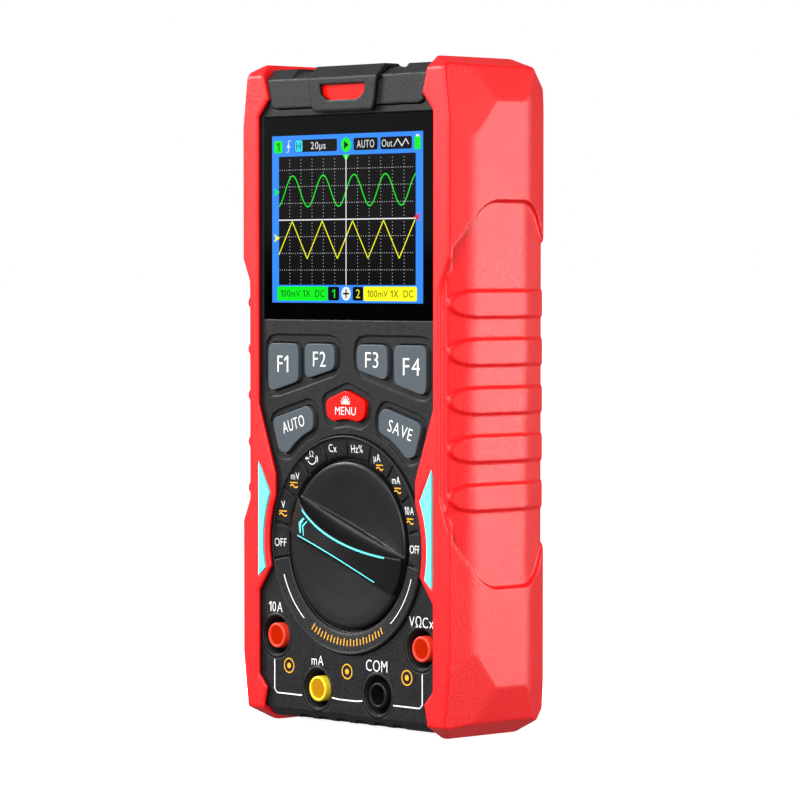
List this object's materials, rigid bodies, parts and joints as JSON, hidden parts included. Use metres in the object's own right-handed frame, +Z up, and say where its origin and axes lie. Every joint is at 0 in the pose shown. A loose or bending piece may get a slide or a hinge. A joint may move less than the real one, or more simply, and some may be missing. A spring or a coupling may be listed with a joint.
{
  "type": "handheld oscilloscope multimeter",
  "caption": "Handheld oscilloscope and multimeter in rubber armour, with a lit display, keys, rotary selector, shrouded input jacks, hinged socket cover and kickstand.",
  "frame": {"origin": "bottom centre of the bounding box, on the surface it stands on", "axes": "+X to the right seen from the front, +Y from the front face to the back, +Z up"},
  "size_m": [0.092, 0.0456, 0.1948],
  "materials": {
    "charcoal_case": "fine textured moulded case plastic",
    "black_plastic": "satin black moulded plastic",
    "red_armour": "soft textured red rubber",
    "red_plastic": "semi-gloss red plastic",
    "cyan_accent": "semi-gloss cyan plastic",
    "yellow_plastic": "semi-gloss yellow plastic",
    "grey_key": "grey-blue satin key plastic",
    "window_glass": "glossy clear window with a dark border",
    "display": "lit blue display",
    "steel": "plated steel",
    "brass": "bright brass",
    "circuit_board": "green solder mask",
    "keypad_rubber": "grey silicone rubber",
    "battery_wrap": "blue shrink wrap",
    "ceramic": "white ceramic"
  },
  "bodies": {
    "case": {"front_case": "charcoal_case", "rear_case": "charcoal_case", "battery_door": "charcoal_case", "right_armour": "red_armour", "left_armour": "red_armour", "right_accent": "cyan_accent", "left_accent": "cyan_accent", "display_window": "window_glass", "lcd_panel": "display", "lcd_frame": "steel", "keypad_mat": "keypad_rubber", "dial_ring": "charcoal_case", "switch_housing": "black_plastic", "jack_10a": "red_plastic", "jack_ma": "yellow_plastic", "jack_com": "black_plastic", "jack_volt": "red_plastic", "signal_socket_1": "steel", "signal_socket_2": "steel", "generator_socket": "steel", "usb_port": "steel", "cover_catch": "red_plastic", "cover_hinge_pin": "steel", "kickstand_pin": "steel", "main_board": "circuit_board", "processor_shield": "steel", "input_shield": "steel", "buzzer": "black_plastic", "fuse_10a": "ceramic", "fuse_ma": "ceramic", "fuse_10a_holder": "black_plastic", "fuse_ma_holder": "black_plastic", "battery_cell_lower": "battery_wrap", "battery_cell_upper": "battery_wrap", "battery_tray": "black_plastic", "jack_contact_10a": "brass", "jack_contact_ma": "brass", "jack_contact_com": "brass", "jack_contact_volt": "brass", "case_screw_lower_left": "steel", "case_screw_lower_right": "steel", "case_screw_upper_left": "steel", "case_screw_upper_right": "steel", "door_screw_left": "steel", "door_screw_right": "steel"},
    "selector": {"selector_knob": "charcoal_case", "selector_shaft": "black_plastic", "selector_wiper": "brass"},
    "top_cover": {"top_cover": "black_plastic", "latch_pin": "steel"},
    "cover_latch": {"cover_latch": "black_plastic"},
    "kickstand": {"kickstand": "charcoal_case"},
    "key_f1": {"key_f1": "grey_key"},
    "key_f2": {"key_f2": "grey_key"},
    "key_f3": {"key_f3": "grey_key"},
    "key_f4": {"key_f4": "grey_key"},
    "key_auto": {"key_auto": "grey_key"},
    "key_save": {"key_save": "grey_key"},
    "key_menu": {"key_menu": "red_plastic"}
  },
  "joints": [
    {"name": "selector_turn", "type": "hinge", "parent": "case", "child": "selector", "pos_m": [0, -0.01635, 0.0539], "axis": [0, -1, 0], "range_deg": [-160, 20]},
    {"name": "top_cover_hinge", "type": "hinge", "parent": "case", "child": "top_cover", "pos_m": [0, 0.01865, 0.187], "axis": [-1, 0, 0], "range_deg": [0, 100]},
    {"name": "cover_latch_hinge", "type": "hinge", "parent": "top_cover", "child": "cover_latch", "pos_m": [0, -0.00995, 0.1923], "axis": [-1, 0, 0], "range_deg": [0, 50], "stiffness_Nm_per_rad": 0.002},
    {"name": "kickstand_hinge", "type": "hinge", "parent": "case", "child": "kickstand", "pos_m": [0, 0.02125, 0.146], "axis": [1, 0, 0], "range_deg": [0, 60]},
    {"name": "key_f1_press", "type": "slide", "parent": "case", "child": "key_f1", "axis": [0, 1, 0], "range_m": [0, 0.0008], "stiffness_N_per_m": 1000},
    {"name": "key_f2_press", "type": "slide", "parent": "case", "child": "key_f2", "axis": [0, 1, 0], "range_m": [0, 0.0008], "stiffness_N_per_m": 1000},
    {"name": "key_f3_press", "type": "slide", "parent": "case", "child": "key_f3", "axis": [0, 1, 0], "range_m": [0, 0.0008], "stiffness_N_per_m": 1000},
    {"name": "key_f4_press", "type": "slide", "parent": "case", "child": "key_f4", "axis": [0, 1, 0], "range_m": [0, 0.0008], "stiffness_N_per_m": 1000},
    {"name": "key_auto_press", "type": "slide", "parent": "case", "child": "key_auto", "axis": [0, 1, 0], "range_m": [0, 0.0008], "stiffness_N_per_m": 1000},
    {"name": "key_save_press", "type": "slide", "parent": "case", "child": "key_save", "axis": [0, 1, 0], "range_m": [0, 0.0008], "stiffness_N_per_m": 1000},
    {"name": "key_menu_press", "type": "slide", "parent": "case", "child": "key_menu", "axis": [0, 1, 0], "range_m": [0, 0.0008], "stiffness_N_per_m": 1000}
  ]
}
